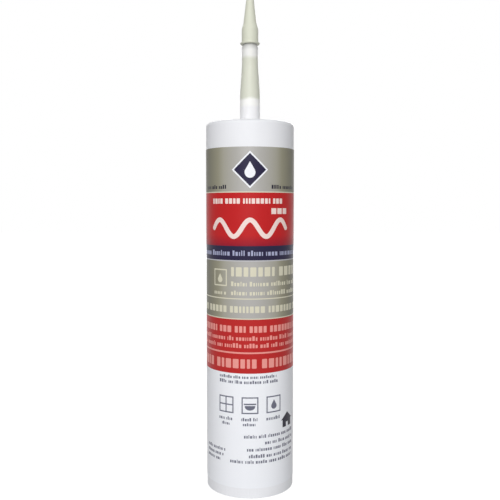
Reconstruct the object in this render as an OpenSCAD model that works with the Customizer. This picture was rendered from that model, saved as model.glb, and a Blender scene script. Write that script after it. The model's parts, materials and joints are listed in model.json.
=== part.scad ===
// Cartridge tube of sealant: a moulded barrel, open at the rear, with a nozzle snapped over
// its spout, a push-on cap, a follower piston behind the sealant and a wrap-round label.
// All sizes are in millimetres. Z runs from the rear rim, at zero, to the tip of the cap.

/* [Barrel] */
// Outside diameter of the barrel
barrel_d = 50.8; // [40:0.1:70]
// Length from the rear rim to the face of the shoulder
barrel_len = 212; // [170:0.5:300]
// Thickness of the side wall
barrel_wall = 1.6; // [1.2:0.1:2.5]
// Thickness of the shoulder that closes the front
shoulder_t = 2.5; // [1.8:0.1:4]
// Outside radius of the corner between the side and the shoulder
shoulder_round = 2.2; // [0.5:0.1:4]
// Inside radius of the same corner
cavity_round = 1.2; // [0.3:0.1:3]

/* [Rear opening] */
// Length of the slightly wider stretch that leads the piston in
lead_in_len = 12; // [6:0.5:18]
// How much wider that stretch is, on the radius
lead_in_step = 0.3; // [0.25:0.05:0.6]
// Chamfer on both edges of the rear rim
rim_chamfer = 0.3; // [0.1:0.05:0.4]

/* [Spout] */
// Outside diameter of the spout that carries the nozzle
spout_d = 9.2; // [7.5:0.1:12]
// Height of the spout above the shoulder
spout_len = 14; // [8:0.5:17]
// Thickness of the spout's wall
spout_wall = 1.2; // [0.8:0.1:1.8]
// Height of the snap bead round the spout, on the radius
bead_h = 0.25; // [0.1:0.05:0.4]
// Length of the snap bead along the spout
bead_len = 1.2; // [0.8:0.1:2]
// Distance from the spout's rim to the bead
bead_drop = 1.6; // [1:0.1:4]
// Depth of the ring seat that the nozzle's foot stands in
nozzle_seat = 0.8; // [0.3:0.1:1.4]

/* [Nozzle] */
// Thickness of the nozzle's wall up to the neck
nozzle_wall = 1.1; // [0.8:0.1:1.6]
// Height of the straight foot above the shoulder
foot_len = 17.5; // [14.5:0.5:25]
// Height of the tapered stretch above the foot
taper_len = 15.5; // [8:0.5:25]
// Outside diameter of the neck
neck_d = 9.3; // [7.5:0.1:11]
// Height of the neck, up to the ledge for the cap
neck_len = 11; // [6:0.1:20]
// Width of the ledge under the cap
ledge = 0.55; // [0.3:0.05:0.8]
// Height of the straight land that grips the cap
land_len = 3.3; // [2:0.1:5]
// Height from the ledge to the uncut end of the tip
tip_len = 22.3; // [15:0.1:40]
// Outside diameter of the uncut end
tip_d = 3.4; // [2.8:0.1:5]
// Thickness of the tip's wall
tip_wall = 0.9; // [0.6:0.05:1.2]
// Thickness of the closed end that the user cuts off
tip_end_t = 1.5; // [0.8:0.1:3]
// Radial gap between the spout and the nozzle
nozzle_fit = 0.05; // [0.02:0.01:0.1]

/* [Cap] */
// Height of the gap between the nozzle's ledge and the cap's mouth
cap_stand_off = 1.2; // [0.5:0.1:2]
// Thickness of the cap's wall at its mouth
cap_wall = 0.6; // [0.5:0.05:1.2]
// Width of the finger rim round the cap's mouth
cap_rim_w = 0.85; // [0.5:0.05:2]
// Thickness of the finger rim
cap_rim_t = 0.9; // [0.6:0.1:2.5]
// Bevel under the finger rim
cap_rim_bevel = 0.4; // [0.1:0.05:0.5]
// Height of the cap's straight sleeve
cap_sleeve_len = 8.8; // [5:0.1:12]
// Height of the slope from the sleeve to the cap's cone
cap_slope_len = 3; // [1:0.1:5]
// Diameter at the foot of the cap's cone
cap_cone_d = 7.6; // [7:0.1:8.6]
// Length of the cap beyond the nozzle's tip
cap_nose = 12.7; // [8:0.1:20]
// Diameter of the cap's rounded tip
cap_tip_d = 2.6; // [1.8:0.1:3.4]
// Space inside the cap beyond the nozzle's tip
cap_air = 3; // [1:0.1:5]
// Radial gap between the nozzle and the cap
cap_fit = 0.05; // [0.02:0.01:0.1]

/* [Piston] */
// Distance from the rear rim to the piston's rear edge
piston_recess = 22; // [15:0.5:40]
// Length of the piston over its crown
piston_len = 19; // [16:0.5:30]
// Thickness of the piston's skirt
piston_wall = 1.4; // [1:0.1:2]
// Rise of the conical crown from its edge to its middle
crown_rise = 1.5; // [0.5:0.1:4]
// Thickness of the crown
crown_t = 1.8; // [1.2:0.1:3]
// Bevel round the crown's edge
crown_bevel = 1; // [0.4:0.1:1.5]
// Length of each wiper lip
lip_len = 1.8; // [1:0.1:3]
// How far the lips stand out from the skirt
lip_h = 0.5; // [0.2:0.1:1]
// Diameter of the ring that joins the ribs
hub_d = 16; // [10:0.5:24]
// Thickness of the ribs and their ring
rib_t = 1.2; // [0.8:0.1:2]
// Height of the ribs below the crown's edge
rib_h = 7; // [4:0.5:9]
// Number of ribs
rib_count = 8; // [4:1:12]
// Radial gap between the lips and the barrel
piston_fit = 0.05; // [0.02:0.01:0.1]

/* [Sealant] */
// Gap between the piston's crown and the sealant
crown_gap = 0.3; // [0.1:0.05:0.5]
// Gap between the sealant and the walls round it
fill_gap = 0.1; // [0.05:0.05:0.2]
// How far the sealant reaches into the nozzle's neck
fill_rise = 2; // [0:0.5:6]

/* [Label] */
// Thickness of the label
label_t = 0.15; // [0.05:0.05:0.3]
// Thickness of the adhesive behind it
glue_t = 0.02; // [0.01:0.01:0.05]
// Bare barrel between the label and the shoulder's face
label_top_gap = 15.2; // [5:0.1:40]
// Bare barrel between the label and the rear rim
label_base_gap = 6; // [2:0.5:20]
// Width of the gap between the label's two ends, at the back
label_seam = 1.5; // [0.5:0.1:5]
// Height of the khaki field at the top
top_field_h = 25; // [15:0.1:40]
// Height of the upper red field
title_field_h = 29.4; // [15:0.1:45]
// Height of the navy strip with the silver rule under it
strip_h = 8.5; // [4:0.1:12]
// Height of the lower khaki field
middle_field_h = 32.3; // [25:0.1:45]
// Height of the khaki band under the rule that crosses this field
low_band_h = 10.6; // [5:0.1:15]
// Height of the lower red field
lower_field_h = 30.3; // [15:0.1:45]
// Height of the thin rules between the fields
rule_h = 0.6; // [0.3:0.1:1.5]

/* [Print] */
// Thickness of one layer of ink
ink_t = 0.03; // [0.01:0.01:0.1]
// Width of the emblem, from corner to corner
emblem_w = 18; // [10:0.5:20]
// Width of the pale border round the emblem
emblem_border = 1.2; // [0.5:0.1:2]
// Diameter of the drop in the emblem
drop_d = 6; // [3:0.1:8]
// Length of one turn of the wavy bead, from crest to trough
bead_pitch = 9.2; // [6:0.1:12]
// Height of its crests over its middle line
bead_wave = 4.6; // [2:0.1:5]
// Width of the wavy bead
bead_w = 2.6; // [1:0.1:4]
// Number of crests and troughs of the wavy bead
bead_turns = 5; // [3:2:7]
// Height of the bead's middle line above the title field's lower edge
bead_rise = 9.8; // [8:0.1:12]
// Side of the small tiles
tile = 3.2; // [1.5:0.1:5]
// Gap between the small tiles
tile_gap = 0.8; // [0.3:0.1:2]
// Number of small tiles
tile_count = 3; // [1:1:5]
// Height of the small tiles above the title field's lower edge
tile_rise = 17.6; // [14:0.1:22]
// Width of the frames round the pictograms
frame_w = 9.5; // [6:0.5:12]
// Thickness of the frames' lines
frame_line = 0.7; // [0.3:0.1:1.2]
// Height of the cream frame above the middle field's lower edge
frame_rise = 18.3; // [8:0.1:22]
// Distance from the lower field down to the bases of the grey frames
frame_drop = 22.8; // [14:0.1:40]
// Distance from one grey frame to the next
frame_pitch = 14.2; // [13:0.1:18]

/* [Hidden] */
$fn = 128;

white_plastic = [0.95, 0.95, 0.97];
milky_plastic = [0.94, 0.94, 0.90];
beige_plastic = [0.86, 0.87, 0.80];
piston_plastic = [0.90, 0.90, 0.92];
sealant_beige = [0.84, 0.83, 0.74];
khaki = [0.60, 0.59, 0.52];
red = [0.77, 0.22, 0.24];
navy = [0.16, 0.14, 0.30];
silver = [0.78, 0.78, 0.80];
cream = [0.85, 0.82, 0.74];
label_white = [0.94, 0.94, 0.97];
print_grey = [0.60, 0.60, 0.66];

// Amount by which a cut runs past the face that it opens
past = 1;

// Radii of the barrel
barrel_r = barrel_d / 2;
bore_r = barrel_r - barrel_wall;
lead_in_r = bore_r + lead_in_step;
cavity_top = barrel_len - shoulder_t;

// Radii and heights of the spout and the nozzle
spout_r = spout_d / 2;
spout_bore_r = spout_r - spout_wall;
spout_top = barrel_len + spout_len;
bead_mid = spout_top - bead_drop - bead_len / 2;
socket_r = spout_r + nozzle_fit;
foot_r = socket_r + nozzle_wall;
neck_r = neck_d / 2;
land_r = neck_r - ledge;
tip_r = tip_d / 2;
foot_bottom = barrel_len - nozzle_seat;
socket_top = spout_top + nozzle_fit;
taper_z = barrel_len + foot_len;
neck_z = taper_z + taper_len;
ledge_z = neck_z + neck_len;
land_z = ledge_z + land_len;
tip_z = ledge_z + tip_len;
neck_bore_r = neck_r - nozzle_wall;
land_bore_r = land_r - tip_wall;

// Radii and heights of the cap
cap_bore_r = land_r + cap_fit;
cap_r = cap_bore_r + cap_wall;
cap_rim_r = cap_r + cap_rim_w;
mouth_z = ledge_z + cap_stand_off;
cap_rim_top = mouth_z + cap_rim_t;
sleeve_z = mouth_z + cap_sleeve_len;
cone_z = sleeve_z + cap_slope_len;
cap_tip_r = cap_tip_d / 2;
cap_top = tip_z + cap_nose;
// The cap's hollow follows the tip's cone and goes on past it
tip_slope = (land_r - tip_r) / (tip_z - land_z);
hollow_top = tip_z + cap_air;
hollow_end_r = tip_r + cap_fit - cap_air * tip_slope;

// Radii and heights of the piston
lip_r = bore_r - piston_fit;
skirt_r = lip_r - lip_h;
skirt_bore_r = skirt_r - piston_wall;
crown_z = piston_recess + piston_len;
crown_edge = crown_z - crown_rise;
crown_under = crown_edge - crown_t;
hub_r = hub_d / 2;

// The sealant's rear edge and the level that it reaches in the nozzle
fill_r = bore_r - fill_gap;
fill_rear = crown_edge + crown_gap;
fill_level = neck_z + fill_rise;

// The label's fields from its top down, each with its height; the white one takes the rest
label_r = barrel_r + glue_t;
face_r = label_r + label_t;
label_top = barrel_len - label_top_gap;
label_len = label_top - label_base_gap;
fields_h = top_field_h + title_field_h + strip_h + middle_field_h + lower_field_h;
fields = [
    [top_field_h - rule_h, khaki],
    [rule_h, cream],
    [title_field_h, red],
    [strip_h - rule_h, navy],
    [rule_h, silver],
    [middle_field_h - low_band_h - 2 * rule_h, khaki],
    [rule_h, cream],
    [low_band_h, khaki],
    [rule_h, cream],
    [lower_field_h, red],
    [label_len - fields_h, label_white],
];
seam_angle = label_seam / label_r * 180 / PI;
// Overlap of each field, and of each patch of ink, with what it meets
trap = 0.01;

// Heights of the lower edges of the fields that carry shapes
top_field_z = label_top - top_field_h;
title_field_z = top_field_z - title_field_h;
middle_field_z = title_field_z - strip_h - middle_field_h;
lower_field_z = middle_field_z - lower_field_h;

// Sum of the heights of the first n fields
function height_of(n) = n == 0 ? 0 : fields[n - 1][0] + height_of(n - 1);

// Angle round the barrel of a length along the label's face
function turn(length) = length / face_r * 180 / PI;

// Place, seen from the front, of a point that is given by its length along the face
function wrapped(point) = [face_r * sin(turn(point[0])), point[1]];

// Direction of the wavy bead's middle line, and a point at a distance and an angle from it
function bead_slope(x) = atan(-bead_wave * PI / bead_pitch * sin(180 * x / bead_pitch));
function bead_point(x, angle) =
    [x, bead_wave * cos(180 * x / bead_pitch)]
    + bead_w / 2 * [cos(bead_slope(x) + angle), sin(bead_slope(x) + angle)];

// Half section of a plug with a rounded front corner
module rounded_plug(r, bottom, top, round_r) {
    translate([0, bottom]) square([r, top - bottom - round_r]);
    translate([0, bottom]) square([r - round_r, top - bottom]);
    translate([r - round_r, top - round_r]) circle(round_r);
}

// Half section of the barrel's inside, with the lead-in at the rear
module cavity_section() {
    rounded_plug(bore_r, -past, cavity_top, cavity_round);
    translate([0, -past]) square([lead_in_r, lead_in_len + past]);
    polygon([
        [0, lead_in_len],
        [lead_in_r, lead_in_len],
        [bore_r, lead_in_len + lead_in_step],
        [0, lead_in_len + lead_in_step],
    ]);
}

// Bevels on the inner and the outer edge of the rear rim
module rim_bevels() {
    polygon([
        [lead_in_r - past, -past],
        [lead_in_r + rim_chamfer + past, -past],
        [lead_in_r, rim_chamfer],
        [lead_in_r - past, rim_chamfer],
    ]);
    polygon([
        [barrel_r - rim_chamfer - past, -past],
        [barrel_r + past, -past],
        [barrel_r + past, rim_chamfer + past],
    ]);
}

// Snap bead on the spout, or with a gap the groove for it in the nozzle
module bead_section(gap) {
    half = bead_len / 2 + gap;
    polygon([
        [spout_r - past / 2, bead_mid - half],
        [spout_r, bead_mid - half],
        [spout_r + bead_h + gap, bead_mid],
        [spout_r, bead_mid + half],
        [spout_r - past / 2, bead_mid + half],
    ]);
}

module barrel() {
    color(white_plastic)
    rotate_extrude()
    difference() {
        union() {
            difference() {
                rounded_plug(barrel_r, 0, barrel_len, shoulder_round);
                translate([0, foot_bottom])
                square([foot_r + nozzle_fit, nozzle_seat + past]);
            }
            translate([0, cavity_top]) square([spout_r, spout_top - cavity_top]);
            bead_section(0);
        }
        cavity_section();
        rim_bevels();
        square([spout_bore_r, spout_top + past]);
    }
}

module nozzle() {
    color(milky_plastic)
    rotate_extrude()
    difference() {
        polygon([
            [0, foot_bottom],
            [foot_r, foot_bottom],
            [foot_r, taper_z],
            [neck_r, neck_z],
            [neck_r, ledge_z],
            [land_r, ledge_z],
            [land_r, land_z],
            [tip_r, tip_z],
            [0, tip_z],
        ]);
        polygon([
            [0, foot_bottom - past],
            [socket_r, foot_bottom - past],
            [socket_r, socket_top],
            [foot_r - nozzle_wall, taper_z],
            [neck_bore_r, neck_z],
            [neck_bore_r, ledge_z - nozzle_wall],
            [land_bore_r, ledge_z],
            [land_bore_r, land_z],
            [tip_r - tip_wall, tip_z - tip_end_t],
            [0, tip_z - tip_end_t],
        ]);
        bead_section(nozzle_fit);
    }
}

module nozzle_cap() {
    color(beige_plastic)
    rotate_extrude()
    difference() {
        intersection() {
            union() {
                polygon([
                    [0, mouth_z],
                    [cap_rim_r - cap_rim_bevel, mouth_z],
                    [cap_rim_r, mouth_z + cap_rim_bevel],
                    [cap_rim_r, cap_rim_top],
                    [cap_r, cap_rim_top],
                    [cap_r, sleeve_z],
                    [cap_cone_d / 2, cone_z],
                    [cap_tip_r, cap_top - cap_tip_r],
                    [0, cap_top - cap_tip_r],
                ]);
                translate([0, cap_top - cap_tip_r]) circle(cap_tip_r);
            }
            square([cap_rim_r, cap_top]);
        }
        polygon([
            [0, mouth_z - past],
            [cap_bore_r, mouth_z - past],
            [cap_bore_r, land_z],
            [hollow_end_r, hollow_top],
            [0, hollow_top],
        ]);
    }
}

// Height of the middle of the crown's thickness at a radius
function crown_mid(r) = crown_z - crown_t / 2 - crown_rise * r / lip_r;

// One radial rib, from the hub ring to the skirt, under the crown
module rib() {
    outer_r = skirt_bore_r + piston_wall / 2;
    inner_r = hub_r - rib_t / 2;
    rotate([90, 0, 0])
    linear_extrude(rib_t, center = true)
    polygon([
        [inner_r, crown_under - rib_h],
        [outer_r, crown_under - rib_h],
        [outer_r, crown_mid(outer_r)],
        [inner_r, crown_mid(inner_r)],
    ]);
}

module piston() {
    color(piston_plastic) {
        rotate_extrude()
        polygon([
            [skirt_bore_r, piston_recess],
            [lip_r, piston_recess],
            [lip_r, piston_recess + lip_len],
            [skirt_r, piston_recess + lip_len + lip_h],
            [skirt_r, crown_edge - crown_bevel - lip_len - lip_h],
            [lip_r, crown_edge - crown_bevel - lip_len],
            [lip_r, crown_edge - crown_bevel],
            [lip_r - crown_bevel, crown_edge],
            [0, crown_z],
            [0, crown_z - crown_t],
            [skirt_bore_r, crown_under],
        ]);
        rotate_extrude()
        polygon([
            [hub_r - rib_t, crown_under - rib_h],
            [hub_r, crown_under - rib_h],
            [hub_r, crown_mid(hub_r)],
            [hub_r - rib_t, crown_mid(hub_r - rib_t)],
        ]);
        for (i = [0 : rib_count - 1])
            rotate(i * 360 / rib_count) rib();
    }
}

module sealant() {
    color(sealant_beige)
    rotate_extrude()
    union() {
        difference() {
            rounded_plug(fill_r, fill_rear, cavity_top - fill_gap, cavity_round);
            polygon([[0, fill_rear], [fill_r, fill_rear], [0, fill_rear + crown_rise]]);
        }
        // The thread of sealant that fills the spout and the lower nozzle
        polygon([
            [0, cavity_top - past],
            [spout_bore_r - fill_gap, cavity_top - past],
            [spout_bore_r - fill_gap, socket_top + fill_gap],
            [socket_r - fill_gap, socket_top + fill_gap],
            [socket_r - fill_gap, taper_z],
            [neck_bore_r - fill_gap, neck_z],
            [neck_bore_r - fill_gap, fill_level],
            [0, fill_level],
        ]);
    }
}

// Ink in the outline of its children, wrapped on the label's front and facing x along its face
module ink(x, layer = 1) {
    rotate(turn(x))
    intersection() {
        rotate_extrude()
        translate([face_r - trap, 0])
        square([layer * ink_t + trap, label_top]);
        rotate([90, 0, 0]) linear_extrude(face_r + past) children();
    }
}

// Outline of a drop on a middle height, with its point up
module drop_outline(z, d) {
    translate([0, z]) circle(d = d);
    translate([0, z])
    polygon([[-d / 2 * cos(30), d / 2 * sin(30)], [0, d], [d / 2 * cos(30), d / 2 * sin(30)]]);
}

// Outline of a square that stands on its corner
module diamond_outline(z, width) {
    polygon([[-width / 2, z], [0, z - width / 2], [width / 2, z], [0, z + width / 2]]);
}

// Diamond emblem with a drop, in the middle of the top field
module emblem() {
    z = top_field_z + top_field_h / 2;
    color(cream) ink(0) diamond_outline(z, emblem_w + 2 * emblem_border);
    color(navy) ink(0, 2) diamond_outline(z, emblem_w);
    color(label_white) ink(0, 3) drop_outline(z - drop_d / 4, drop_d);
}

// Wavy bead across the title field: its upper edge, right end, lower edge and left end
module wavy_bead() {
    end = bead_turns * bead_pitch / 2;
    step = bead_pitch / 12;
    outline = concat(
        [for (x = [-end : step : end]) bead_point(x, 90)],
        [for (angle = [60 : -30 : -60]) bead_point(end, angle)],
        [for (x = [end : -step : -end]) bead_point(x, -90)],
        [for (angle = [-120 : -30 : -240]) bead_point(-end, angle)]
    );
    color(label_white)
    ink(0)
    translate([0, title_field_z + bead_rise])
    polygon([for (point = outline) wrapped(point)]);
}

// Row of small tiles over the right end of the bead
module tiles() {
    right = (bead_turns * bead_pitch + bead_w) / 2;
    color(label_white)
    for (i = [1 : tile_count])
        ink(right - i * (tile + tile_gap) + tile / 2)
        translate([-tile / 2, title_field_z + tile_rise])
        square(tile);
}

// Square frame round x on the label's face, from its base
module frame(x, base) {
    ink(x)
    translate([0, base + frame_w / 2])
    difference() {
        square(frame_w, center = true);
        square(frame_w - 2 * frame_line, center = true);
    }
}

// Cream frame at the left of the middle field, and three grey ones under the lower field
module frames() {
    left = (frame_w - bead_turns * bead_pitch) / 2;
    color(cream) frame(left, middle_field_z + frame_rise);
    color(print_grey)
    for (i = [-1 : 1])
        frame(i * frame_pitch, lower_field_z - frame_drop);
}

module label() {
    for (i = [0 : len(fields) - 1])
        color(fields[i][1])
        rotate_extrude(angle = 360 - seam_angle, start = 90 + seam_angle / 2)
        translate([label_r, label_top - height_of(i + 1)])
        square([label_t, fields[i][0] + (i == 0 ? 0 : trap)]);
    emblem();
    wavy_bead();
    tiles();
    frames();
}

barrel();
nozzle();
nozzle_cap();
piston();
sealant();
label();
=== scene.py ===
import json
import math
import random

import bmesh
import bpy
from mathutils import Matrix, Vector

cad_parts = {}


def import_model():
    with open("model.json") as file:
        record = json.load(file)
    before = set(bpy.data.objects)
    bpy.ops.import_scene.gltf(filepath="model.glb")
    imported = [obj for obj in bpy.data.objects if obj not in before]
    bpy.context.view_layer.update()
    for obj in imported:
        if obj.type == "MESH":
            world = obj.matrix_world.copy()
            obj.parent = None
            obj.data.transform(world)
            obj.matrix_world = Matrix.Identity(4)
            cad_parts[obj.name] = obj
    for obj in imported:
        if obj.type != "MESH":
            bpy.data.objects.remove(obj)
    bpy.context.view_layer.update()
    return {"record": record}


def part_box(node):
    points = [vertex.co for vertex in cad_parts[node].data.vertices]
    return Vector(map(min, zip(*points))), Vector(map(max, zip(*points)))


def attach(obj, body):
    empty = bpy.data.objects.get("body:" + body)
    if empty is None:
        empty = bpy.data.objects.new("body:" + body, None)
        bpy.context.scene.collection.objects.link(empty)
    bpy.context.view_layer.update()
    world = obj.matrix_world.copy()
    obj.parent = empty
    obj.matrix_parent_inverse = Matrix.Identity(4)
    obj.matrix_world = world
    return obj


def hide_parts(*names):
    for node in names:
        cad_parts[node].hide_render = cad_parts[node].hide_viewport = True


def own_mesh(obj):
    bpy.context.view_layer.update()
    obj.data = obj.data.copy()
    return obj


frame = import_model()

# All lengths are in millimetres, up to the point where a mesh is made
MM = 0.001
record = frame["record"]


def node_box(name):
    """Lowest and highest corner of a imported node, in millimetres."""
    low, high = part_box(name)
    return low / MM, high / MM


def mount(name):
    """One of the record's mounts."""
    return next(m for m in record["mounts"] if m["name"] == name)


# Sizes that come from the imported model
barrel_high = node_box("barrel")[1]
nozzle_low, nozzle_high = node_box("nozzle")
cap_low, cap_high = node_box("nozzle_cap")
piston_low, piston_high = node_box("piston")
fill_low, fill_high = node_box("sealant")
label_low, label_high = node_box("label")

BARREL_R = barrel_high.x
SPOUT_TOP = barrel_high.z
SHOULDER_Z = mount("front_shoulder")["pos_m"][2] / MM
LEAD_IN_R = mount("rear_bore")["dims"]["r_mm"]
FOOT_R = nozzle_high.x
FOOT_Z = nozzle_low.z
TIP_Z = nozzle_high.z
CAP_RIM_R = cap_high.x
MOUTH_Z = cap_low.z
CAP_TOP = cap_high.z
LIP_R = piston_high.x
PISTON_Z = piston_low.z
CROWN_Z = piston_high.z
FILL_REAR = fill_low.z
FILL_LEVEL = fill_high.z
LABEL_BASE = label_low.z
LABEL_TOP = label_high.z

# Sizes inside the barrel and on its spout, as in the part's source
PISTON_FIT = 0.05
BORE_R = LIP_R + PISTON_FIT
LEAD_IN_LEN = 12
LEAD_IN_STEP = 0.3
SHOULDER_T = 2.5
SHOULDER_ROUND = 2.2
CAVITY_ROUND = 1.2
CAVITY_TOP = SHOULDER_Z - SHOULDER_T
SPOUT_R = 4.6
SPOUT_BORE_R = 3.4
BEAD_H = 0.25
BEAD_HALF = 0.6
BEAD_DEPTH = 2.2
BEAD_Z = SPOUT_TOP - BEAD_DEPTH
SEAT_GAP = 0.05

# Sizes of the nozzle and the cap
NOZZLE_WALL = 1.1
SOCKET_R = FOOT_R - NOZZLE_WALL
FOOT_LEN = 17.5
TAPER_LEN = 15.5
NECK_LEN = 11
LAND_LEN = 3.3
TAPER_Z = SHOULDER_Z + FOOT_LEN
NECK_Z = TAPER_Z + TAPER_LEN
NECK_R = 4.65
LAND_R = 4.1
LEDGE_Z = NECK_Z + NECK_LEN
LAND_Z = LEDGE_Z + LAND_LEN
TIP_R = 1.7
TIP_WALL = 0.9
TIP_END = 1.5
CAP_BORE_R = LAND_R + SEAT_GAP
CAP_WALL = 0.6
CAP_R = CAP_BORE_R + CAP_WALL
CAP_RIM_T = 0.9
CAP_RIM_BEVEL = 0.4
SLEEVE_LEN = 8.8
CAP_SLOPE_LEN = 3
SLEEVE_Z = MOUTH_Z + SLEEVE_LEN
CONE_Z = SLEEVE_Z + CAP_SLOPE_LEN
CONE_R = 3.8
CAP_TIP_R = 1.3
CAP_AIR = 3

# Sizes of the piston
LIP_LEN = 1.8
LIP_H = 0.5
PISTON_WALL = 1.4
SKIRT_R = LIP_R - LIP_H
SKIRT_BORE_R = SKIRT_R - PISTON_WALL
CROWN_RISE = 1.5
CROWN_T = 1.8
CROWN_BEVEL = 1
CROWN_EDGE = CROWN_Z - CROWN_RISE
CROWN_UNDER = CROWN_EDGE - CROWN_T
HUB_R = 8
RIB_T = 1.2
RIB_H = 7
RIB_Z = CROWN_UNDER - RIB_H
RIB_COUNT = 8

# Sizes of the sealant
FILL_GAP = 0.1
FILL_R = BORE_R - FILL_GAP
FILL_TOP = CAVITY_TOP - FILL_GAP

# Sizes of the label
GLUE_T = 0.02
FILM_T = 0.15
LABEL_R = BARREL_R + GLUE_T
FACE_R = LABEL_R + FILM_T
SEAM = 1.5
RULE = 0.6
INK_T = 0.03
INK_UNDER = 0.01

# Heights of the label's fields, and the lower edge of each from the top down
TOP_FIELD_H = 25
TITLE_FIELD_H = 29.4
STRIP_H = 8.5
MIDDLE_FIELD_H = 32.3
LOW_BAND_H = 10.6
LOWER_FIELD_H = 30.3
TOP_FIELD_Z = LABEL_TOP - TOP_FIELD_H
TITLE_FIELD_Z = TOP_FIELD_Z - TITLE_FIELD_H
STRIP_Z = TITLE_FIELD_Z - STRIP_H
MIDDLE_FIELD_Z = STRIP_Z - MIDDLE_FIELD_H
LOW_BAND_Z = MIDDLE_FIELD_Z + RULE + LOW_BAND_H
LOWER_FIELD_Z = MIDDLE_FIELD_Z - LOWER_FIELD_H


def srgb(red, green, blue):
    """Linear colour of a colour that is given in eight bits a channel."""
    def channel(value):
        value /= 255
        return value / 12.92 if value <= 0.04045 else ((value + 0.055) / 1.055) ** 2.4
    return channel(red), channel(green), channel(blue), 1


# Colours
WHITE_PLASTIC = srgb(243, 244, 248)
MILKY_PLASTIC = srgb(244, 244, 241)
# Painted highlight along the spout's top end, seen through the nozzle
SPOUT_PAINTED_HIGHLIGHT = srgb(254, 254, 251)
NOZZLE_BASE = srgb(245, 245, 247)
SEALANT_SEEN = srgb(223, 225, 210)
BEIGE_PLASTIC = srgb(222, 224, 207)
PISTON_PLASTIC = srgb(232, 233, 236)
SEALANT = srgb(226, 224, 203)
LABEL_WHITE = srgb(248, 250, 255)
KHAKI = srgb(160, 157, 137)
# Painted sheen on the metallic khaki print, at its front and back
KHAKI_PAINTED_SHEEN = srgb(178, 176, 173)
RED = srgb(196, 38, 40)
RED_DEEP = srgb(150, 30, 48)
LOWER_RED = srgb(190, 44, 44)
NAVY = srgb(42, 38, 66)
CREAM = srgb(222, 218, 196)
ROSE_WHITE = srgb(250, 226, 220)
SALMON = srgb(240, 158, 150)
SILVER = srgb(196, 196, 202)
LAVENDER = srgb(172, 176, 206)
PRINT_GREY = srgb(112, 114, 130)
PRINT_DARK = srgb(48, 46, 58)
FLOOR_WHITE = srgb(196, 196, 196)


# Materials

# The range that most of a noise texture lies in
NOISE_LOW, NOISE_HIGH = 0.3, 0.7
# Sockets of a mix of two colours, which share their names with those of other kinds
MIX_A, MIX_B, MIX_RESULT = 6, 7, 2


def shader(name, colour, roughness):
    """A new material with its node tree and its main shader."""
    made = bpy.data.materials.new(name)
    made.use_nodes = True
    tree = made.node_tree
    main = tree.nodes["Principled BSDF"]
    main.inputs["Base Color"].default_value = colour
    main.inputs["Roughness"].default_value = roughness
    return made, tree, main


def node(tree, kind, **values):
    """A node of a kind, with its properties and its sockets set by name."""
    made = tree.nodes.new(kind)
    for key, value in values.items():
        if key in made.inputs:
            made.inputs[key].default_value = value
        else:
            setattr(made, key, value)
    return made


def place(tree, scale=(1, 1, 1)):
    """Place on the object, stretched by a scale along each axis."""
    coords = tree.nodes.new("ShaderNodeTexCoord")
    mapping = tree.nodes.new("ShaderNodeMapping")
    mapping.inputs["Scale"].default_value = scale
    tree.links.new(coords.outputs["Object"], mapping.inputs["Vector"])
    return mapping.outputs["Vector"]


def noise(tree, scale, detail=3, stretch=(1, 1, 1)):
    """Noise with a number of cells to the metre."""
    made = node(tree, "ShaderNodeTexNoise", Scale=scale, Detail=detail)
    tree.links.new(place(tree, stretch), made.inputs["Vector"])
    return made.outputs["Fac"]


def between(tree, value, low, high, from_low=NOISE_LOW, from_high=NOISE_HIGH):
    """A value brought from one range to another, and held at its ends."""
    made = tree.nodes.new("ShaderNodeMapRange")
    for name, number in (("From Min", from_low), ("From Max", from_high),
                         ("To Min", low), ("To Max", high)):
        made.inputs[name].default_value = number
    tree.links.new(value, made.inputs["Value"])
    return made.outputs["Result"]


def math_node(tree, operation, a, b):
    """The result of an operation on two values or sockets."""
    made = node(tree, "ShaderNodeMath", operation=operation)
    for socket, value in zip(made.inputs, (a, b)):
        if isinstance(value, (int, float)):
            socket.default_value = value
        else:
            tree.links.new(value, socket)
    return made.outputs["Value"]


def mixed(tree, factor, a, b):
    """A mix of two colours or colour sockets."""
    made = node(tree, "ShaderNodeMix", data_type="RGBA")
    tree.links.new(factor, made.inputs["Factor"])
    for socket, value in ((made.inputs[MIX_A], a), (made.inputs[MIX_B], b)):
        if isinstance(value, tuple):
            socket.default_value = value
        else:
            tree.links.new(value, socket)
    return made.outputs[MIX_RESULT]


def shaded(tree, colour, factor, low, high):
    """A colour times a share that goes from low to high with a noise or a like factor."""
    made = node(tree, "ShaderNodeHueSaturation")
    tree.links.new(between(tree, factor, low, high), made.inputs["Value"])
    if isinstance(colour, tuple):
        made.inputs["Color"].default_value = colour
    else:
        tree.links.new(colour, made.inputs["Color"])
    return made.outputs["Color"]


def bumped(tree, main, *layers):
    """Bumps laid over each other, each a height, its depth in millimetres and its strength."""
    normal = None
    for height, depth, strength in layers:
        made = node(tree, "ShaderNodeBump", Strength=strength, Distance=depth * MM)
        tree.links.new(height, made.inputs["Height"])
        if normal:
            tree.links.new(normal, made.inputs["Normal"])
        normal = made.outputs["Normal"]
    tree.links.new(normal, main.inputs["Normal"])


def along(tree, axis):
    """Place on the object along one of its axes, in millimetres."""
    coords = tree.nodes.new("ShaderNodeTexCoord")
    split = tree.nodes.new("ShaderNodeSeparateXYZ")
    tree.links.new(coords.outputs["Object"], split.inputs["Vector"])
    return math_node(tree, "DIVIDE", split.outputs[axis], MM)


def clouded(tree, colour, clouds):
    """A plastic's colour with faint clouds."""
    return shaded(tree, colour, clouds, low=0.985, high=1.01)


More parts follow.
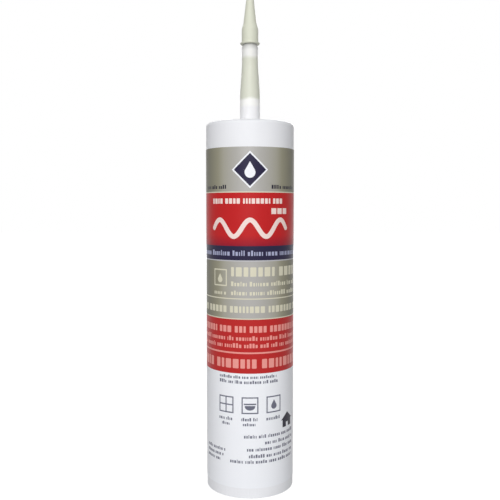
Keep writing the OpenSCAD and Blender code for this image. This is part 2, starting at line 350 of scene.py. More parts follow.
def plastic(name, colour, roughness, glow=0.0):
    """Moulded plastic with flow lines along the axis, faint clouds and a fine skin."""
    made, tree, main = shader(name, colour, roughness)
    clouds = noise(tree, scale=45, detail=2)
    flow = noise(tree, scale=1, stretch=(900, 900, 12))
    skin = noise(tree, scale=2600, detail=2)
    tree.links.new(clouded(tree, colour, clouds), main.inputs["Base Color"])
    tree.links.new(between(tree, clouds, roughness - 0.04, roughness + 0.06),
                   main.inputs["Roughness"])
    bumped(tree, main, (flow, 0.12, 0.7), (skin, 0.06, 0.8))
    main.inputs["Subsurface Weight"].default_value = glow
    main.inputs["Subsurface Radius"].default_value = (1, 1, 0.9)
    main.inputs["Subsurface Scale"].default_value = 1.2 * MM
    main.inputs["Specular IOR Level"].default_value = 0.2
    return made, tree, main


def piston_plastic():
    """Natural plastic with the fine rings of a turned mould."""
    made, tree, main = plastic("piston_plastic", PISTON_PLASTIC, 0.4)
    rings = node(tree, "ShaderNodeTexWave", wave_type="RINGS", rings_direction="Z",
                 Scale=700, Distortion=0.6)
    tree.links.new(place(tree), rings.inputs["Vector"])
    skin = noise(tree, scale=2200, detail=2)
    bumped(tree, main, (rings.outputs["Fac"], 0.01, 0.4), (skin, 0.012, 0.3))
    return made


def nozzle_plastic():
    """Milky plastic that shows the spout, with a painted highlight along its top end, and the
    sealant behind it, and has painted shade round its ledge under the cap's rim.
    """
    made, tree, main = plastic("nozzle_plastic", MILKY_PLASTIC, 0.36, 0.15)
    wobble = between(tree, noise(tree, scale=160, detail=1), -0.5, 0.5)
    height = math_node(tree, "ADD", along(tree, "Z"), wobble)
    # Each step upwards: where its colour starts, where it is full, and the colour
    colour = NOZZLE_BASE
    # The first step is a painted highlight along the spout's top end, the second the sealant seen
    # through the wall
    for start, full, above in ((SPOUT_TOP - 5, SPOUT_TOP - 3, SPOUT_PAINTED_HIGHLIGHT),
                               (SPOUT_TOP - 0.6, SPOUT_TOP + 0.9, SEALANT_SEEN),
                               (FILL_LEVEL + 1.8, FILL_LEVEL + 3.9, MILKY_PLASTIC)):
        colour = mixed(tree, between(tree, height, 0, 1, start, full), colour, above)
    # Painted shade under the cap's rim: a greyer ring that is full between the ledge and the cap's
    # mouth and fades away from them
    shade_ring_middle = (LEDGE_Z + MOUTH_Z) / 2
    shade_ring_half = (MOUTH_Z - LEDGE_Z) / 2
    from_shade_ring = math_node(tree, "SUBTRACT", along(tree, "Z"), shade_ring_middle)
    out_of_shade = between(tree, math_node(tree, "ABSOLUTE", from_shade_ring, 0), NOISE_LOW, NOISE_HIGH,
                   shade_ring_half, shade_ring_half + 2.4)
    with_painted_shade = shaded(tree, colour, out_of_shade, low=0.68, high=1)
    clouds = noise(tree, scale=45, detail=2)
    tree.links.new(clouded(tree, with_painted_shade, clouds), main.inputs["Base Color"])
    return made


def sealant_paste():
    """Smooth paste with slow folds from filling."""
    made, tree, main = shader("sealant_paste", SEALANT, 0.28)
    folds = noise(tree, scale=70, detail=2, stretch=(1, 1, 3))
    grain = noise(tree, scale=900, detail=2)
    tree.links.new(shaded(tree, SEALANT, folds, low=0.97, high=1.02), main.inputs["Base Color"])
    bumped(tree, main, (folds, 0.4, 0.5), (grain, 0.03, 0.3))
    return made


def film(name, colour, roughness=0.34, metal=0.0):
    """Printed film with slow waves, the ink's fine grain and a satin coat.

    Its colour is plain, or comes from a function that adds nodes to the tree.
    """
    made, tree, main = shader(name, (1, 1, 1, 1), roughness)
    if callable(colour):
        colour = colour(tree)
    grain = noise(tree, scale=5200, detail=2)
    smears = noise(tree, scale=60, detail=2)
    waves = noise(tree, scale=55, detail=1)
    tree.links.new(shaded(tree, colour, grain, low=0.975, high=1.02), main.inputs["Base Color"])
    tree.links.new(between(tree, smears, roughness - 0.03, roughness + 0.05),
                   main.inputs["Roughness"])
    bumped(tree, main, (waves, 0.05, 0.35), (grain, 0.006, 0.3))
    main.inputs["Metallic"].default_value = metal
    main.inputs["Specular IOR Level"].default_value = 0.12
    return made


def khaki_with_painted_sheen(tree):
    """Metallic print with a painted sheen that makes it silvery at the front and the back, and
    painted shade that makes it a darker khaki at the sides.
    """
    share = math_node(tree, "DIVIDE", along(tree, "Y"), FACE_R)
    facing = math_node(tree, "ABSOLUTE", share, 0)
    colour = mixed(tree, between(tree, facing, 0, 1, 0.72, 1), KHAKI, KHAKI_PAINTED_SHEEN)
    # Painted shade that darkens the khaki towards the sides
    painted_side_shade = between(tree, facing, NOISE_LOW, NOISE_HIGH, 0.38, 0.82)
    return shaded(tree, colour, painted_side_shade, low=0.5, high=1)


def fading_red(tree):
    """Red print that deepens over the last 6 mm above the dark strip."""
    share = between(tree, along(tree, "Z"), 0, 1, TITLE_FIELD_Z, TITLE_FIELD_Z + 6)
    return mixed(tree, share, RED_DEEP, RED)


MATERIALS = {
    "barrel": plastic("barrel_plastic", WHITE_PLASTIC, 0.42)[0],
    "nozzle": nozzle_plastic(),
    "cap": plastic("cap_plastic", BEIGE_PLASTIC, 0.45)[0],
    "piston": piston_plastic(),
    "sealant": sealant_paste(),
    "white": film("label_white", LABEL_WHITE),
    "khaki": film("label_khaki", khaki_with_painted_sheen, roughness=0.36, metal=0.08),
    "red": film("label_red", fading_red),
    "lower_red": film("label_lower_red", LOWER_RED),
    "navy": film("label_navy", NAVY),
    "cream": film("label_cream", CREAM),
    "rose_white": film("label_rose_white", ROSE_WHITE),
    "salmon": film("label_salmon", SALMON),
    "silver": film("label_silver", SILVER),
    "lavender": film("label_lavender", LAVENDER),
    "grey": film("label_grey", PRINT_GREY),
    "dark": film("label_dark", PRINT_DARK),
}


# Meshes

# Turn between two points on a round, in degrees, and the turn in radians under which none is made
ROUND_STEP = 15
LEAST_TURN = 0.01
# Parts of an edge that a round may take up, alone or with a round at the other end
ALONE, SHARED = 0.98, 0.49
# Angle over which an edge of the label or its print is shown sharp
SHARP_EDGE = math.radians(40)


def rounded(corners):
    """Closed outline through corners, each a distance from the axis, a height and a round."""
    outline = []
    count = len(corners)
    for i, (r, z, radius) in enumerate(corners):
        here = Vector((r, z))
        before, after = corners[i - 1], corners[(i + 1) % count]
        to_before = Vector(before[:2]) - here
        to_after = Vector(after[:2]) - here
        turn = math.pi - to_before.angle(to_after)
        if radius == 0 or turn < LEAST_TURN:
            outline.append(here)
            continue
        reach = radius * math.tan(turn / 2)
        for length, other in ((to_before.length, before[2]), (to_after.length, after[2])):
            reach = min(reach, length * (SHARED if other else ALONE))
        start = here + to_before.normalized() * reach
        end = here + to_after.normalized() * reach
        inward = (to_before.normalized() + to_after.normalized()).normalized()
        centre = here + inward * (reach / math.tan(turn / 2) / math.cos(turn / 2))
        steps = max(2, math.ceil(math.degrees(turn) / ROUND_STEP))
        first = start - centre
        sweep = first.angle_signed(end - centre)
        for k in range(steps + 1):
            angle = -sweep * k / steps
            c, s = math.cos(angle), math.sin(angle)
            turned = Vector((first.x * c - first.y * s, first.x * s + first.y * c))
            outline.append(centre + turned)
    return outline


def mesh_object(name, points, faces, slots, normals=None, face_slots=None):
    """An object from points in millimetres, with smooth faces and its materials."""
    mesh = bpy.data.meshes.new(name)
    mesh.from_pydata([Vector(p) * MM for p in points], [], faces)
    for key in slots:
        mesh.materials.append(MATERIALS[key])
    mesh.polygons.foreach_set("use_smooth", [True] * len(faces))
    if face_slots:
        mesh.polygons.foreach_set("material_index", face_slots)
    if normals:
        mesh.normals_split_custom_set_from_vertices(normals)
    mesh.update()
    made = bpy.data.objects.new(name, mesh)
    bpy.context.scene.collection.objects.link(made)
    return made


def lathe(name, corners, key, segments=144):
    """A turned piece from the corners of its half section, listed anticlockwise."""
    outline = rounded(corners)
    count = len(outline)
    on_axis = [p.x < 1e-6 for p in outline]
    # Normal of each side of the outline, which counts for nothing on a side along the axis
    slopes = []
    for i, (a, b) in enumerate(zip(outline, outline[1:] + outline[:1])):
        inside = on_axis[i] and on_axis[(i + 1) % count]
        slopes.append(Vector((0, 0)) if inside else Vector((b.y - a.y, a.x - b.x)))
    points, normals, index = [], [], []
    for i, p in enumerate(outline):
        slope = (slopes[i - 1] + slopes[i]).normalized()
        index.append(len(points))
        if on_axis[i]:
            points.append((0, 0, p.y))
            normals.append((0, 0, math.copysign(1, slope.y)))
            continue
        for k in range(segments):
            c = math.cos(2 * math.pi * k / segments)
            s = math.sin(2 * math.pi * k / segments)
            points.append((p.x * c, p.x * s, p.y))
            normals.append((slope.x * c, slope.x * s, slope.y))
    faces = []
    for i in range(count):
        j = (i + 1) % count
        if on_axis[i] and on_axis[j]:
            continue
        for k in range(segments):
            n = (k + 1) % segments
            a0, a1 = (index[i],) * 2 if on_axis[i] else (index[i] + k, index[i] + n)
            b0, b1 = (index[j],) * 2 if on_axis[j] else (index[j] + k, index[j] + n)
            faces.append(list(dict.fromkeys((a0, a1, b1, b0))))
    return mesh_object(name, points, faces, [key], normals)


def wrap(x, z, depth=0.0):
    """Point on the label: x along its face from the front's middle, z up, depth off the face."""
    radius = FACE_R + depth
    angle = x / FACE_R
    return radius * math.sin(angle), -radius * math.cos(angle), z


def register(piece, body, packed):
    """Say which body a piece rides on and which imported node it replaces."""
    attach(piece, body)
    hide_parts(packed)


# Turned pieces

def barrel():
    """The barrel with its shoulder, its spout and the lead-in at the rear."""
    seat_r = FOOT_R + SEAT_GAP
    return lathe("barrel_body", [
        (LEAD_IN_R, 0, 0.3),
        (BARREL_R, 0, 0.4),
        (BARREL_R, SHOULDER_Z, SHOULDER_ROUND),
        (seat_r, SHOULDER_Z, 0.15),
        (seat_r, FOOT_Z, 0.05),
        (SPOUT_R, FOOT_Z, 0.05),
        (SPOUT_R, BEAD_Z - BEAD_HALF, 0.1),
        (SPOUT_R + BEAD_H, BEAD_Z, 0.1),
        (SPOUT_R, BEAD_Z + BEAD_HALF, 0.1),
        (SPOUT_R, SPOUT_TOP, 0.3),
        (SPOUT_BORE_R, SPOUT_TOP, 0.3),
        (SPOUT_BORE_R, CAVITY_TOP, 0.6),
        (BORE_R, CAVITY_TOP, CAVITY_ROUND),
        (BORE_R, LEAD_IN_LEN + LEAD_IN_STEP, 0.3),
        (LEAD_IN_R, LEAD_IN_LEN, 0.3),
    ], "barrel")


def nozzle():
    """The nozzle, hollow up to the closed end of its tip."""
    return lathe("nozzle_body", [
        (SOCKET_R, FOOT_Z, 0.15),
        (FOOT_R, FOOT_Z, 0.2),
        (FOOT_R, TAPER_Z, 8),
        (NECK_R, NECK_Z, 12),
        (NECK_R, LEDGE_Z, 0.12),
        (LAND_R, LEDGE_Z, 0.1),
        (LAND_R, LAND_Z, 3),
        (TIP_R, TIP_Z, 0.4),
        (0, TIP_Z, 0),
        (0, TIP_Z - TIP_END, 0),
        (TIP_R - TIP_WALL, TIP_Z - TIP_END, 0.3),
        (LAND_R - TIP_WALL, LAND_Z, 2),
        (LAND_R - TIP_WALL, LEDGE_Z, 0.3),
        (NECK_R - NOZZLE_WALL, LEDGE_Z - NOZZLE_WALL, 0.3),
        (NECK_R - NOZZLE_WALL, NECK_Z, 6),
        (SOCKET_R, TAPER_Z, 6),
        (SOCKET_R, BEAD_Z + BEAD_HALF, 0.1),
        (SOCKET_R + BEAD_H, BEAD_Z, 0.1),
        (SOCKET_R, BEAD_Z - BEAD_HALF, 0.1),
    ], "nozzle", segments=96)


def cap():
    """The push-on cap with its bevelled finger rim and its sleeve."""
    slope = (LAND_R - TIP_R) / (TIP_Z - LAND_Z)
    return lathe("cap_body", [
        (CAP_BORE_R, MOUTH_Z, 0.1),
        (CAP_RIM_R - CAP_RIM_BEVEL, MOUTH_Z, 0.1),
        (CAP_RIM_R, MOUTH_Z + CAP_RIM_BEVEL, 0.12),
        (CAP_RIM_R, MOUTH_Z + CAP_RIM_T, 0.12),
        (CAP_R, MOUTH_Z + CAP_RIM_T, 0.3),
        (CAP_R, SLEEVE_Z, 5),
        (CONE_R, CONE_Z, 5),
        (CAP_TIP_R, CAP_TOP - CAP_TIP_R, 0),
        (CAP_TIP_R, CAP_TOP, CAP_TIP_R),
        (0, CAP_TOP, 0),
        (0, TIP_Z + CAP_AIR, 0),
        (TIP_R + SEAT_GAP - CAP_AIR * slope, TIP_Z + CAP_AIR, 0.3),
        (CAP_BORE_R, LAND_Z, 2),
    ], "cap", segments=96)


def crown_height(r):
    """Height of the crown's underside at a radius."""
    return CROWN_Z - CROWN_T - CROWN_RISE * r / SKIRT_BORE_R


def piston():
    """The piston: two wiper lips, a conical crown and the ring under it."""
    front = CROWN_EDGE - CROWN_BEVEL
    ring_bore = HUB_R - RIB_T
    return lathe("piston_body", [
        (SKIRT_BORE_R, PISTON_Z, 0.3),
        (LIP_R, PISTON_Z, 0.3),
        (LIP_R, PISTON_Z + LIP_LEN, 0.25),
        (SKIRT_R, PISTON_Z + LIP_LEN + LIP_H, 0.4),
        (SKIRT_R, front - LIP_LEN - LIP_H, 0.4),
        (LIP_R, front - LIP_LEN, 0.25),
        (LIP_R, front, 0.3),
        (LIP_R - CROWN_BEVEL, CROWN_EDGE, 0.4),
        (0, CROWN_Z, 0),
        (0, crown_height(0), 0),
        (ring_bore, crown_height(ring_bore), 0.5),
        (ring_bore, RIB_Z, 0.25),
        (HUB_R, RIB_Z, 0.25),
        (HUB_R, crown_height(HUB_R), 0.5),
        (SKIRT_BORE_R, CROWN_UNDER, 0.8),
    ], "piston")


def rib(angle):
    """One rib at an angle round the piston's axis, let into the ring, the skirt and the crown."""
    inner, outer = HUB_R - RIB_T / 2, SKIRT_BORE_R + 0.4
    half, bevel, top = RIB_T / 2, 0.2, CROWN_UNDER + 0.2
    section = [(-half, top), (-half, RIB_Z + bevel), (-half + bevel, RIB_Z),
               (half - bevel, RIB_Z), (half, RIB_Z + bevel), (half, top)]
    c, s = math.cos(angle), math.sin(angle)
    points = []
    for r in (inner, outer):
        for across, z in section:
            points.append((r * c - across * s, r * s + across * c, z))
    size = len(section)
    faces = [[k, (k + 1) % size, (k + 1) % size + size, k + size] for k in range(size)]
    faces += [list(range(size))[::-1], [k + size for k in range(size)]]
    return points, faces


def ribs():
    """All ribs of the piston as one mesh."""
    points, faces = [], []
    for i in range(RIB_COUNT):
        more, sides = rib(2 * math.pi * i / RIB_COUNT)
        faces += [[k + len(points) for k in side] for side in sides]
        points += more
    return mesh_object("piston_ribs", points, faces, ["piston"])


def sealant_fill():
    """The sealant in the barrel, between the piston's crown and the shoulder."""
    return lathe("sealant_fill", [
        (0, FILL_REAR + CROWN_RISE, 0),
        (FILL_R, FILL_REAR, 0.3),
        (FILL_R, FILL_TOP, CAVITY_ROUND),
        (0, FILL_TOP, 0),
    ], "sealant")


def sealant_thread():
    """The sealant that fills the spout and stands in the lower nozzle."""
    spout_r = SPOUT_BORE_R - FILL_GAP
    socket_r = SOCKET_R - FILL_GAP
    neck_r = NECK_R - NOZZLE_WALL - FILL_GAP
    step_z = SPOUT_TOP + 0.15
    return lathe("sealant_thread", [
        (0, FILL_TOP, 0),
        (spout_r, FILL_TOP, 0),
        (spout_r, step_z, 0.1),
        (socket_r, step_z, 0.3),
        (socket_r, TAPER_Z, 6),
        (neck_r, NECK_Z, 6),
        (neck_r, FILL_LEVEL, 1.2),
        (0, FILL_LEVEL, 0),
    ], "sealant", segments=64)


# Label

def label_film():
    """The printed film round the barrel, with a field for each colour and a seam at the back."""
    # Upper edge and colour of each field
    fields = [
        (LABEL_TOP, "khaki"), (TOP_FIELD_Z + RULE, "cream"), (TOP_FIELD_Z, "red"),
        (TITLE_FIELD_Z, "navy"), (STRIP_Z + RULE, "silver"), (STRIP_Z, "khaki"),
        (LOW_BAND_Z + RULE, "cream"), (LOW_BAND_Z, "khaki"), (MIDDLE_FIELD_Z + RULE, "cream"),
        (MIDDLE_FIELD_Z, "lower_red"), (LOWER_FIELD_Z, "white"),
    ]
    edges = [top for top, key in fields] + [LABEL_BASE]
    keys = list(dict.fromkeys(key for top, key in fields))
    columns = 240
    half = math.pi * FACE_R - SEAM / 2
    points, faces, face_slots = [], [], []
    for depth in (0, LABEL_R - FACE_R):
        for z in edges:
            for i in range(columns + 1):
                points.append(wrap(half * (2 * i / columns - 1), z, depth))

    def add(key, *corners):
        """A face from its corners, each a column, an edge and a side: 0 outside, 1 inside."""
        faces.append([(side * len(edges) + edge) * (columns + 1) + i for i, edge, side in corners])
        face_slots.append(keys.index(key))

    for k, (top, key) in enumerate(fields):
        for i in range(columns):
            add(key, (i, k, 0), (i, k + 1, 0), (i + 1, k + 1, 0), (i + 1, k, 0))
            add("white", (i, k, 1), (i + 1, k, 1), (i + 1, k + 1, 1), (i, k + 1, 1))
        add(key, (0, k, 0), (0, k, 1), (0, k + 1, 1), (0, k + 1, 0))
        add(key, (columns, k + 1, 0), (columns, k + 1, 1), (columns, k, 1), (columns, k, 0))
    low = len(fields)
    for i in range(columns):
        add("khaki", (i, 0, 0), (i + 1, 0, 0), (i + 1, 0, 1), (i, 0, 1))
        add("white", (i, low, 1), (i + 1, low, 1), (i + 1, low, 0), (i, low, 0))
    made = mesh_object("label_film", points, faces, keys, face_slots=face_slots)
    made.data.set_sharp_from_angle(angle=SHARP_EDGE)
    return made


# Width of the strips that print is cut into, and the distance under which its points are one
STRIP = 1.2
WELD = 0.001


def flat_print(shapes):
    """Flat shapes as one mesh, cut into strips that bend round the label."""
    ink = bmesh.new()
    for loops in shapes:
        edges = []
        for loop in loops:
            verts = [ink.verts.new((x, 0, z)) for x, z in loop]
            edges += [ink.edges.new(pair) for pair in zip(verts, verts[1:] + verts[:1])]
        bmesh.ops.triangle_fill(ink, use_beauty=True, use_dissolve=False, edges=edges,
                                normal=(0, -1, 0))
    xs = [v.co.x for v in ink.verts]
    for k in range(math.floor(min(xs) / STRIP) + 1, math.ceil(max(xs) / STRIP)):
        bmesh.ops.bisect_plane(ink, geom=ink.verts[:] + ink.edges[:] + ink.faces[:], dist=WELD,
                               plane_co=(k * STRIP, 0, 0), plane_no=(1, 0, 0))
    ink.normal_update()
    ink.verts.index_update()
    return ink


def outward(face):
    """Corners of a flat face in the order that turns it outwards."""
    corners = [v.index for v in face.verts]
    return corners[::-1] if face.normal.y > 0 else corners


def print_patch(name, key, shapes, layer=1):
    """Ink of one colour: shapes wrapped round the label, as thick as their layer is high."""
    ink = flat_print(shapes)
    places = [(v.co.x, v.co.z) for v in ink.verts]
    points = [wrap(x, z, depth) for depth in (layer * INK_T, -INK_UNDER) for x, z in places]
    under = len(places)
    faces = []
    for face in ink.faces:
        corners = outward(face)
        faces.append(corners)
        faces.append([k + under for k in reversed(corners)])
    for edge in ink.edges:
        if len(edge.link_faces) != 1:
            continue
        corners = outward(edge.link_faces[0])
        a, b = (v.index for v in edge.verts)
        if corners[(corners.index(a) + 1) % len(corners)] != b:
            a, b = b, a
        faces.append([b, a, a + under, b + under])
    ink.free()
    made = mesh_object(name, points, faces, [key])
    made.data.set_sharp_from_angle(angle=SHARP_EDGE)
    return made


def block(x, z, width, height, corner):
    """Outline of a block with round corners of a radius, from its lower left."""
    if corner == 0:
        return [(x, z), (x + width, z), (x + width, z + height), (x, z + height)]
    outline = []
    left, right = x + corner, x + width - corner
    low, high = z + corner, z + height - corner
    for cx, cz, start in ((right, low, -90), (right, high, 0), (left, high, 90), (left, low, 180)):
        for angle in (start, start + 45, start + 90):
            a = math.radians(angle)
            outline.append((cx + corner * math.cos(a), cz + corner * math.sin(a)))
    return outline


def row(x0, x1, z, height, seed, heights=(0.74, 0.74, 0.74, 1),
        widths=(0.22, 0.38, 0.46, 0.54), gap=0.22, corner=0.0):
    """Small blocks in groups for a line of print; their sizes are shares of its height."""
    draw = random.Random(seed)
    shapes = []
    x = x0
    while True:
        for _ in range(draw.randint(3, 8)):
            width = height * draw.choice(widths)
            if x + width > x1:
                return shapes
            shapes.append([block(x, z, width, height * draw.choice(heights), corner * height)])
            x += width + height * gap
        x += height * 0.4


def heading(x0, x1, z, height, seed):
    """A row of broader blocks of one height with slightly rounded corners."""
    return row(x0, x1, z, height, seed, heights=(1,), widths=(0.34, 0.5, 0.58, 0.66), gap=0.2,
               corner=0.07)


def paragraph(x0, x1, top, height, pitch, lines, seed):
    """Rows under each other, some of them short, as in a block of instructions."""
    draw = random.Random(seed)
    shapes = []
    for k in range(lines):
        end = x1 - (x1 - x0) * draw.choice((0, 0.03, 0.05, 0.08, 0.45))
        shapes += row(x0, end, top - height - k * pitch, height, seed + 100 + k)
    return shapes


def bar(x, z, width, height):
    """A plain bar from its lower left."""
    return [block(x, z, width, height, corner=0)]


def square_frame(middle, base, width, line):
    """A square frame round the middle of its base."""
    low, high = middle - width / 2, middle + width / 2
    outer = [(low, base), (high, base), (high, base + width), (low, base + width)]
    inner = [(low + line, base + line), (low + line, base + width - line),
             (high - line, base + width - line), (high - line, base + line)]
    return [outer, inner]


def diamond(z, width):
    """A square that stands on its corner, in the middle of the front."""
    half = width / 2
    return [[(-half, z), (0, z - half), (half, z), (0, z + half)]]


def drop(x, z, d):
    """A drop with its point up."""
    outline = [(x, z + d)]
    for degrees in range(150, 391, 12):
        angle = math.radians(degrees)
        outline.append((x + d / 2 * math.cos(angle), z + d / 2 * math.sin(angle)))
    return [outline]


# Sizes of the emblem, the wavy bead, its tiles and the frames, as in the part's source
EMBLEM_Z = (TOP_FIELD_Z + LABEL_TOP) / 2
EMBLEM_W = 18
EMBLEM_BORDER = 1.2
DROP_D = 6
DROP_Z = EMBLEM_Z - DROP_D / 4
BEAD_TURNS = 5
BEAD_PITCH = 9.2
BEAD_WAVE = 4.6
BEAD_W = 2.6
BEAD_MID = TITLE_FIELD_Z + 9.8
BEAD_LEN = BEAD_TURNS * BEAD_PITCH
TILE = 3.2
TILE_GAP = 0.8
TILE_BASE = TITLE_FIELD_Z + 17.6
FRAME_W = 9.5
FRAME_LINE = 0.7
FRAME_PITCH = 14.2
FRAME_BASE = LOWER_FIELD_Z - 22.8
CREAM_FRAME_X = (FRAME_W - BEAD_LEN) / 2
CREAM_FRAME_BASE = MIDDLE_FIELD_Z + 18.3

# Columns of print from edge to edge, measured along the label from the middle of the front
FRONT = (-37, 37)
RIGHT_SIDE, LEFT_SIDE = (44, 74), (-74, -44)
RIGHT_BACK, LEFT_BACK = (43, 75), (-75, -43)


def wavy_bead():
    """Outline of the wavy bead, with round ends."""
    def edge(x, degrees):
        """Point off the bead's middle line at x, at an angle to the line's run there."""
        turn = math.pi * x / BEAD_PITCH
        middle = BEAD_MID + BEAD_WAVE * math.cos(turn)
        slope = math.atan(-BEAD_WAVE * math.pi / BEAD_PITCH * math.sin(turn))
        angle = slope + math.radians(degrees)
        return x + BEAD_W / 2 * math.cos(angle), middle + BEAD_W / 2 * math.sin(angle)

    end = BEAD_LEN / 2
    steps = 24 * BEAD_TURNS
    xs = [end * (2 * k / steps - 1) for k in range(steps + 1)]
    outline = [edge(x, 90) for x in xs]
    outline += [edge(end, degrees) for degrees in range(75, -90, -15)]
    outline += [edge(x, -90) for x in reversed(xs)]
    outline += [edge(-end, degrees) for degrees in range(-105, -270, -15)]
    return [outline]


def tiles():
    """Three tiles in line with the bead's right end."""
    right = (BEAD_LEN + BEAD_W) / 2
    return [bar(right - k * (TILE + TILE_GAP), TILE_BASE, TILE, TILE) for k in (1, 2, 3)]


def side_texts(z, height, top, seed):
    """On each side of the front a heading at z, and a short paragraph down from top."""
    shapes = heading(*RIGHT_SIDE, z, height, seed) + heading(*LEFT_SIDE, z, height, seed + 1)
    for k, side in enumerate((RIGHT_SIDE, LEFT_SIDE)):
        shapes += paragraph(*side, top, height=1.6, pitch=3, lines=3, seed=seed + 2 + k)
    return shapes


def salmon_print():
    """Lines on the lower red field, with a rule round the label over the broad one."""
    base = LOWER_FIELD_Z
    rule_half = 79
    return (heading(*FRONT, base + 23, height=3.6, seed=5)
            + row(*FRONT, base + 18.5, height=2.5, seed=6)
            + row(*FRONT, base + 14.4, height=2.5, seed=7)
            + [bar(-rule_half, base + 11.1, 2 * rule_half, 0.9)]
            + heading(*FRONT, base + 2.9, height=5.2, seed=8)
            + side_texts(base + 23, 2.6, base + 21.1, seed=50))


def cream_print():
    """Lines on the middle field and on the band under it, with a frame and its drop."""
    base = MIDDLE_FIELD_Z
    left = -10.8
    return (heading(left, 36, base + 23.9, height=5.2, seed=10)
            + row(left, 34, base + 18.5, height=2.6, seed=11)
            + row(left, 34, base + 13.5, height=2.6, seed=12)
            + row(-23, -13.6, base + 13.5, height=2.2, seed=13)
            + heading(*FRONT, base + 3.7, height=3.7, seed=14)
            + [square_frame(CREAM_FRAME_X, CREAM_FRAME_BASE, FRAME_W, FRAME_LINE)]
            + [drop(CREAM_FRAME_X, CREAM_FRAME_BASE + 3.6, 3.4)]
            + side_texts(base + 24.9, 3, base + 22, seed=54))


def pictograms():
    """A window with its frame, and a tub and a tap's drop for the other grey frames."""
    left, base = -FRAME_PITCH, FRAME_BASE
    pane = (FRAME_W - 3 * FRAME_LINE) / 2
    window = bar(left - FRAME_W / 2, base, FRAME_W, FRAME_W)
    for x in (left - FRAME_LINE / 2 - pane, left + FRAME_LINE / 2):
        for z in (base + FRAME_LINE, base + 2 * FRAME_LINE + pane):
            window += bar(x, z, pane, pane)
    tub_r, tub_depth, tub_top = 3, 2.4, base + 4.6
    tub = [(-tub_r, tub_top)]
    for degrees in range(180, 361, 15):
        angle = math.radians(degrees)
        tub.append((tub_r * math.cos(angle), tub_top - 0.2 + tub_depth * math.sin(angle)))
    tub.append((tub_r, tub_top))
    rim = bar(-3.5, tub_top + 0.5, 7, 0.8)
    return [window, [tub], rim, drop(FRAME_PITCH, base + 3.8, 3.6)]


def lower_text():
    """Lines of small print low on the label, at the right and at the left."""
    rows = []
    for k, (start, above) in enumerate(((-3.4, 28.6), (8.6, 24.8), (-1.7, 21.2), (-0.6, 17.4),
                                        (-11.6, 14.2))):
        rows += row(start, 31, LABEL_BASE + above, height=2, seed=30 + k)
    for k, above in enumerate((20.2, 17.2, 14.2)):
        rows += row(-31, -14 - 2 * k, LABEL_BASE + above, height=1.9, seed=40 + k)
    return rows


def grey_print():
    """Lines and frames on the white field, with the small print under them."""
    top = LOWER_FIELD_Z
    captions = []
    for k, (x0, x1) in enumerate(((-19, -9), (-5, 5.4), (9.4, 18.8))):
        captions += row(x0, x1, top - 26.9, height=1.9, seed=22 + k)
    for k, (x0, x1) in enumerate(((-17, -10.5), (-4, 3.6))):
        captions += row(x0, x1, top - 29.7, height=1.7, seed=25 + k)
    return (row(-18.6, 17, top - 2.9, height=1.7, seed=20)
            + row(-18.6, 17, top - 5.8, height=1.9, seed=21)
            + [square_frame(x, FRAME_BASE, FRAME_W, FRAME_LINE) for x in (0, FRAME_PITCH)]
            + pictograms() + captions + lower_text())


def back_text(column, seed):
    """A long paragraph down the white field, in one column at the back."""
    return paragraph(*column, LOWER_FIELD_Z - 4.3, height=1.4, pitch=2.6, lines=21, seed=seed)


def house(x, z):
    """A small house seen from its gable, round x and from its floor."""
    wall, door, roof = 4.2, 1, 5.5
    door_top, eaves, ridge = z + 2.6, z + 4.2, z + 8.4
    return [[(x - wall, z), (x - door, z), (x - door, door_top), (x + door, door_top),
             (x + door, z), (x + wall, z), (x + wall, eaves), (x + roof, eaves), (x, ridge),
             (x - roof, eaves), (x - wall, eaves)]]


def dark_print():
    """A line on each side of the emblem's foot, and the house low on the label."""
    z = TOP_FIELD_Z + 2.1
    return (row(-31, -12.4, z, height=2.2, seed=15) + row(12.4, 33, z, height=2.2, seed=16)
            + [house(25, LABEL_BASE + 32.4)])


# Each piece of print: its name, its colour, its shapes and the layer that it lies in
PRINT = (
    ("print_emblem_border", "white", [diamond(EMBLEM_Z, EMBLEM_W + 2 * EMBLEM_BORDER)], 1),
    ("print_emblem", "navy", [diamond(EMBLEM_Z, EMBLEM_W)], 2),
    ("print_drop", "white", [drop(0, DROP_Z, DROP_D)], 3),
    ("print_title", "rose_white", [wavy_bead()] + tiles(), 1),
    ("print_rose", "rose_white", heading(-24, 20.8, TITLE_FIELD_Z + 23.3, height=2.9, seed=3), 1),
    ("print_salmon", "salmon", salmon_print(), 1),
    ("print_lavender", "lavender", row(*FRONT, STRIP_Z + 3.1, height=2.9, seed=9), 1),
    ("print_cream", "cream", cream_print(), 1),
    ("print_grey", "grey", grey_print(), 1),
    ("print_back_left", "grey", back_text(LEFT_BACK, seed=60), 1),
    ("print_back_right", "grey", back_text(RIGHT_BACK, seed=90), 1),
    ("print_dark", "dark", dark_print(), 1),
)


# Putting it together

register(barrel(), "barrel", "barrel")
register(nozzle(), "barrel", "nozzle")
register(cap(), "cap", "nozzle_cap")
register(piston(), "piston", "piston")
register(ribs(), "piston", "piston")

# The fill gets a mesh of its own; in use it shortens with the piston's travel to a thin disc under
# the shoulder
fill = sealant_fill()
register(fill, "barrel", "sealant")
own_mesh(fill)
register(sealant_thread(), "barrel", "sealant")

register(label_film(), "barrel", "label")
for name, key, shapes, layer in PRINT:
    register(print_patch(name, key, shapes, layer), "barrel", "label")


# Stage, light and camera, in metres

def looked_at(tree):
    """1 for rays from the camera, by reflections and through clear things, and 0 for other ones."""
    rays = tree.nodes.new("ShaderNodeLightPath").outputs
    seen = math_node(tree, "MAXIMUM", rays["Is Camera Ray"], rays["Is Glossy Ray"])
    return math_node(tree, "MAXIMUM", seen, rays["Is Transmission Ray"])


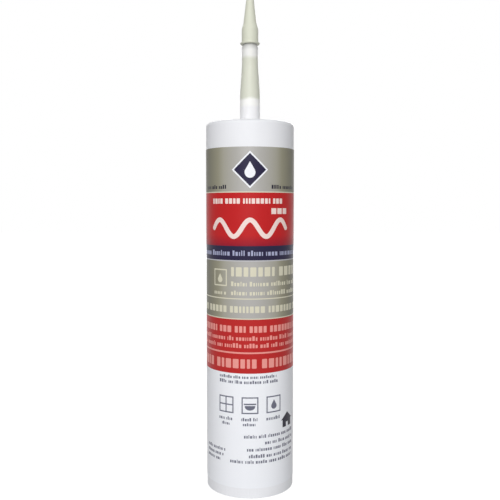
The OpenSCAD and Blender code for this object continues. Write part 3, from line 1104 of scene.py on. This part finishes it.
def floor_look():
    """Matt white that glows more with the distance from the object, and is clear from below."""
    look, tree, main = shader("floor_white", FLOOR_WHITE, 0.9)
    main.inputs["Specular IOR Level"].default_value = 0
    clouds = noise(tree, scale=30, detail=2)
    tree.links.new(shaded(tree, FLOOR_WHITE, clouds, low=0.99, high=1), main.inputs["Base Color"])
    coords = tree.nodes.new("ShaderNodeTexCoord")
    distance = node(tree, "ShaderNodeVectorMath", operation="LENGTH")
    tree.links.new(coords.outputs["Object"], distance.inputs[0])
    level = between(tree, distance.outputs["Value"], 0.76, 0.97, from_low=0.4, from_high=2.4)
    glow = tree.nodes.new("ShaderNodeEmission")
    tree.links.new(math_node(tree, "MULTIPLY", looked_at(tree), level), glow.inputs["Strength"])
    lit = tree.nodes.new("ShaderNodeAddShader")
    tree.links.new(main.outputs["BSDF"], lit.inputs[0])
    tree.links.new(glow.outputs["Emission"], lit.inputs[1])
    below = tree.nodes.new("ShaderNodeNewGeometry").outputs["Backfacing"]
    clear = tree.nodes.new("ShaderNodeBsdfTransparent")
    sided = tree.nodes.new("ShaderNodeMixShader")
    tree.links.new(below, sided.inputs["Fac"])
    tree.links.new(lit.outputs["Shader"], sided.inputs[1])
    tree.links.new(clear.outputs["BSDF"], sided.inputs[2])
    tree.links.new(sided.outputs["Shader"], tree.nodes["Material Output"].inputs["Surface"])
    return look


def floor():
    """A plain white floor that keeps the object's shadow."""
    mesh = bpy.data.meshes.new("floor")
    half = 4
    corners = [(-half, -half, 0), (half, -half, 0), (half, half, 0), (-half, half, 0)]
    mesh.from_pydata(corners, [], [(0, 1, 2, 3)])
    mesh.materials.append(floor_look())
    made = bpy.data.objects.new("floor", mesh)
    bpy.context.scene.collection.objects.link(made)


def world(ambient):
    """White to the camera and in reflections, and a softer light on the object."""
    made = bpy.data.worlds.new("studio")
    bpy.context.scene.world = made
    made.use_nodes = True
    tree = made.node_tree
    background = tree.nodes["Background"]
    background.inputs["Color"].default_value = (1, 1, 1, 1)
    level = between(tree, looked_at(tree), ambient, 1, from_low=0, from_high=1)
    tree.links.new(level, background.inputs["Strength"])


def softbox(name, at, towards, size, power):
    """A square soft light that faces a point."""
    light = bpy.data.lights.new(name, "AREA")
    light.shape = "SQUARE"
    light.size = size
    light.energy = power
    made = bpy.data.objects.new(name, light)
    made.location = at
    made.rotation_euler = (Vector(towards) - Vector(at)).to_track_quat("-Z", "Y").to_euler()
    bpy.context.scene.collection.objects.link(made)


def camera():
    """The photograph's camera, fitted to the barrel's width and to the arches of its edges."""
    lens = bpy.data.cameras.new("camera")
    lens.sensor_width = 36
    lens.lens = 49.26
    lens.clip_start = 0.01
    made = bpy.data.objects.new("camera", lens)
    made.location = (0, -0.4009, 0.1635)
    made.rotation_euler = (math.radians(86.46), 0, 0)
    bpy.context.scene.collection.objects.link(made)
    bpy.context.scene.camera = made


floor()
world(ambient=0.08)
softbox("front", (-0.28, -3.1, 1.65), (0, 0, 0.1), size=2.2, power=106)
softbox("back", (0.25, 2.2, 1.2), (0, 0, 0.13), size=1.4, power=36)
camera()
bpy.context.scene.view_settings.view_transform = "Standard"
